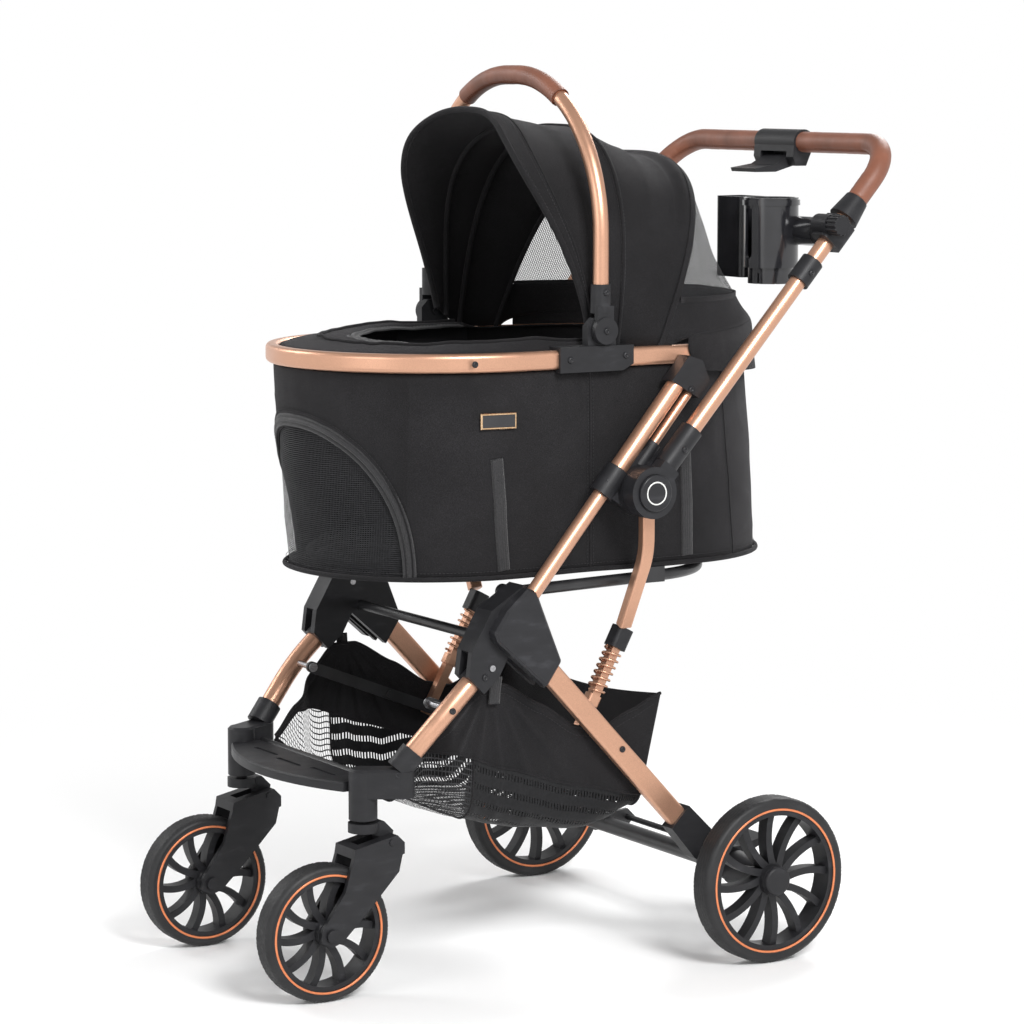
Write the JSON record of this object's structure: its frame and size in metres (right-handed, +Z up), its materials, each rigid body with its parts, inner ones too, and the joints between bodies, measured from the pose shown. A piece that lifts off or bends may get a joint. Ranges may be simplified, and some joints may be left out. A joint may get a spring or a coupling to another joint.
{
  "type": "pet stroller",
  "caption": "Folding pet stroller with a lift-off oval cabin, hooped canopy, carrying bail, storage basket, cup organiser, sprung struts and swivelling front wheels.",
  "frame": {"origin": "on the floor, midway between the left and right wheels and midway between the foremost and rearmost points", "axes": "+Z up, -Y towards the nose, so the pusher stands on the +Y side; +X towards the pusher's left"},
  "size_m": [0.628, 0.9105, 1.1505],
  "materials": {
    "gold_frame": "satin anodised rose gold",
    "black_plastic": "fine moulded texture",
    "gloss_black": "polished moulding",
    "steel": "zinc plated",
    "black_steel": "satin powder coat",
    "leather": "brown stitched leatherette",
    "black_fabric": "black oxford weave",
    "pad_fabric": "padded liner",
    "tyre": "foam tyre with diamond tread",
    "spring_steel": "rose gold coil"
  },
  "bodies": {
    "frame": {"front_leg_left": "gold_frame", "front_leg_right": "gold_frame", "crossing_housings": "black_plastic", "crossing_covers": "black_plastic", "lower_tubes": "gold_frame", "frame_cross_tube": "black_steel", "caster_housings": "black_plastic", "footrest": "black_plastic", "front_cross_tube": "black_steel", "seat_frame": "black_steel", "storage_basket": "black_fabric", "frame_rivets": "steel"},
    "upper_frame": {"upper_tubes": "gold_frame", "hub_arms": "black_plastic", "top_brackets": "black_plastic", "lock_rods": "gold_frame"},
    "handle": {"handle_tube": "gold_frame", "handle_grip": "leather", "handle_sleeves": "black_plastic", "hub_discs": "black_plastic", "lever_housing": "black_plastic", "cup_clamp": "black_plastic"},
    "fold_trigger": {"fold_lever": "black_plastic"},
    "hub_button_l": {"hub_button_left": "black_plastic"},
    "hub_button_r": {"hub_button_right": "black_plastic"},
    "organiser": {"cup_holder": "gloss_black"},
    "clamp_screw": {"clamp_knob": "black_plastic"},
    "rear_legs": {"rear_leg_left": "gold_frame", "rear_leg_right": "gold_frame", "axle_brackets": "black_plastic", "rear_axle": "steel", "axle_tube": "black_steel"},
    "brake": {"brake_pedal": "black_plastic"},
    "rear_wheel_l": {"rear_tyre_left": "tyre", "rear_rim_left": "black_plastic"},
    "rear_wheel_r": {"rear_tyre_right": "tyre", "rear_rim_right": "black_plastic"},
    "caster_l": {"caster_stem_left": "black_plastic"},
    "caster_r": {"caster_stem_right": "black_plastic"},
    "fork_l": {"fork_left": "black_plastic"},
    "fork_r": {"fork_right": "black_plastic"},
    "front_wheel_l": {"front_tyre_left": "tyre", "front_rim_left": "black_plastic"},
    "front_wheel_r": {"front_tyre_right": "tyre", "front_rim_right": "black_plastic"},
    "struts": {"strut_tubes": "gold_frame", "strut_sleeves": "black_plastic"},
    "strut_rams": {"strut_rods": "gold_frame", "strut_springs": "spring_steel"},
    "brace_front": {"brace_front_links": "black_steel"},
    "brace_rear": {"brace_rear_links": "black_steel"},
    "bassinet": {"bassinet_rim": "gold_frame", "bassinet_shell": "black_fabric", "bassinet_pad": "pad_fabric", "rim_brackets": "black_plastic", "canopy_rear": "black_fabric"},
    "bail": {"bail_tube": "gold_frame", "bail_grip": "leather", "bail_joints": "black_plastic"},
    "canopy": {"canopy_front": "black_fabric"}
  },
  "joints": [
    {"name": "frame_fold", "type": "hinge", "parent": "frame", "child": "rear_legs", "pos_m": [0, -0.133, 0.462], "axis": [-1, 0, 0], "range_deg": [0, 42]},
    {"name": "upper_tube_slide", "type": "slide", "parent": "frame", "child": "upper_frame", "axis": [0, -0.6445, -0.7646], "range_m": [0, 0.0965]},
    {"name": "handle_fold", "type": "hinge", "parent": "upper_frame", "child": "handle", "pos_m": [0, 0.051, 0.617], "axis": [-1, 0, 0], "range_deg": [0, 90.2]},
    {"name": "strut_swing", "type": "hinge", "parent": "upper_frame", "child": "struts", "pos_m": [0, 0.051, 0.617], "axis": [-1, 0, 0], "range_deg": [0, 13.6]},
    {"name": "strut_spring", "type": "slide", "parent": "struts", "child": "strut_rams", "axis": [0, 0.4711, 0.8821], "range_m": [0, 0.012], "stiffness_N_per_m": 900, "springref_m": -0.012, "deforming": ["strut_springs"]},
    {"name": "brace_front_swing", "type": "hinge", "parent": "frame", "child": "brace_front", "pos_m": [0, -0.212, 0.357], "axis": [-1, 0, 0], "range_deg": [0, 9.1]},
    {"name": "brace_rear_swing", "type": "hinge", "parent": "brace_front", "child": "brace_rear", "pos_m": [0, -0.095, 0.3106], "axis": [-1, 0, 0], "range_deg": [0, 102]},
    {"name": "brake_press", "type": "hinge", "parent": "rear_legs", "child": "brake", "pos_m": [0, 0.246, 0.116], "axis": [-1, 0, 0], "range_deg": [0, 14]},
    {"name": "rear_wheel_left_spin", "type": "hinge", "parent": "rear_legs", "child": "rear_wheel_l", "pos_m": [0.29, 0.215, 0.108], "axis": [1, 0, 0], "continuous": true},
    {"name": "rear_wheel_right_spin", "type": "hinge", "parent": "rear_legs", "child": "rear_wheel_r", "pos_m": [-0.29, 0.215, 0.108], "axis": [1, 0, 0], "continuous": true},
    {"name": "caster_left_swivel", "type": "hinge", "parent": "frame", "child": "caster_l", "pos_m": [0.166, -0.313, 0.24], "axis": [0, 0, 1], "continuous": true},
    {"name": "fork_left_suspension", "type": "hinge", "parent": "caster_l", "child": "fork_l", "pos_m": [0.166, -0.286, 0.194], "axis": [-1, 0, 0], "range_deg": [0, 4], "stiffness_Nm_per_rad": 120, "springref_deg": -6.88},
    {"name": "front_wheel_left_spin", "type": "hinge", "parent": "fork_l", "child": "front_wheel_l", "pos_m": [0.166, -0.371, 0.086], "axis": [1, 0, 0], "continuous": true},
    {"name": "hub_button_left_press", "type": "slide", "parent": "handle", "child": "hub_button_l", "axis": [-1, 0, 0], "range_m": [0, 0.002], "stiffness_N_per_m": 400, "springref_m": -0.003},
    {"name": "caster_right_swivel", "type": "hinge", "parent": "frame", "child": "caster_r", "pos_m": [-0.166, -0.313, 0.24], "axis": [0, 0, 1], "continuous": true},
    {"name": "fork_right_suspension", "type": "hinge", "parent": "caster_r", "child": "fork_r", "pos_m": [-0.166, -0.286, 0.194], "axis": [-1, 0, 0], "range_deg": [0, 4], "stiffness_Nm_per_rad": 120, "springref_deg": -6.88},
    {"name": "front_wheel_right_spin", "type": "hinge", "parent": "fork_r", "child": "front_wheel_r", "pos_m": [-0.166, -0.371, 0.086], "axis": [1, 0, 0], "continuous": true},
    {"name": "hub_button_right_press", "type": "slide", "parent": "handle", "child": "hub_button_r", "axis": [1, 0, 0], "range_m": [0, 0.002], "stiffness_N_per_m": 400, "springref_m": -0.003},
    {"name": "fold_lever_pull", "type": "hinge", "parent": "handle", "child": "fold_trigger", "pos_m": [0, 0.4325, 1.0236], "axis": [-1, 0, 0], "range_deg": [0, 14], "stiffness_Nm_per_rad": 1.2, "springref_deg": -20.05},
    {"name": "organiser_tilt", "type": "hinge", "parent": "handle", "child": "organiser", "pos_m": [0.2, 0.3365, 0.9359], "axis": [1, 0, 0], "range_deg": [-18, 0]},
    {"name": "clamp_knob_turn", "type": "hinge", "parent": "handle", "child": "clamp_screw", "pos_m": [0.285, 0.3246, 0.9466], "axis": [1, 0, 0], "range_deg": [0, 330]},
    {"name": "bassinet_lift", "type": "slide", "parent": "frame", "child": "bassinet", "axis": [0, -0.77, 0.638], "range_m": [0, 0.45]},
    {"name": "bail_fold", "type": "hinge", "parent": "bassinet", "child": "bail", "pos_m": [0, 0.005, 0.82], "axis": [1, 0, 0], "range_deg": [0, 84]},
    {"name": "canopy_fold", "type": "hinge", "parent": "bassinet", "child": "canopy", "pos_m": [0, 0.01, 0.815], "axis": [-1, 0, 0], "range_deg": [0, 50]}
  ],
  "couplings": [
    {"joint": "upper_tube_slide", "follows": "frame_fold", "m_per_rad": 0.13069},
    {"joint": "handle_fold", "follows": "frame_fold", "ratio": 2.1429},
    {"joint": "strut_swing", "follows": "frame_fold", "ratio": 0.31905},
    {"joint": "brace_front_swing", "follows": "frame_fold", "ratio": 0.2119},
    {"joint": "brace_rear_swing", "follows": "frame_fold", "ratio": 2.419}
  ]
}
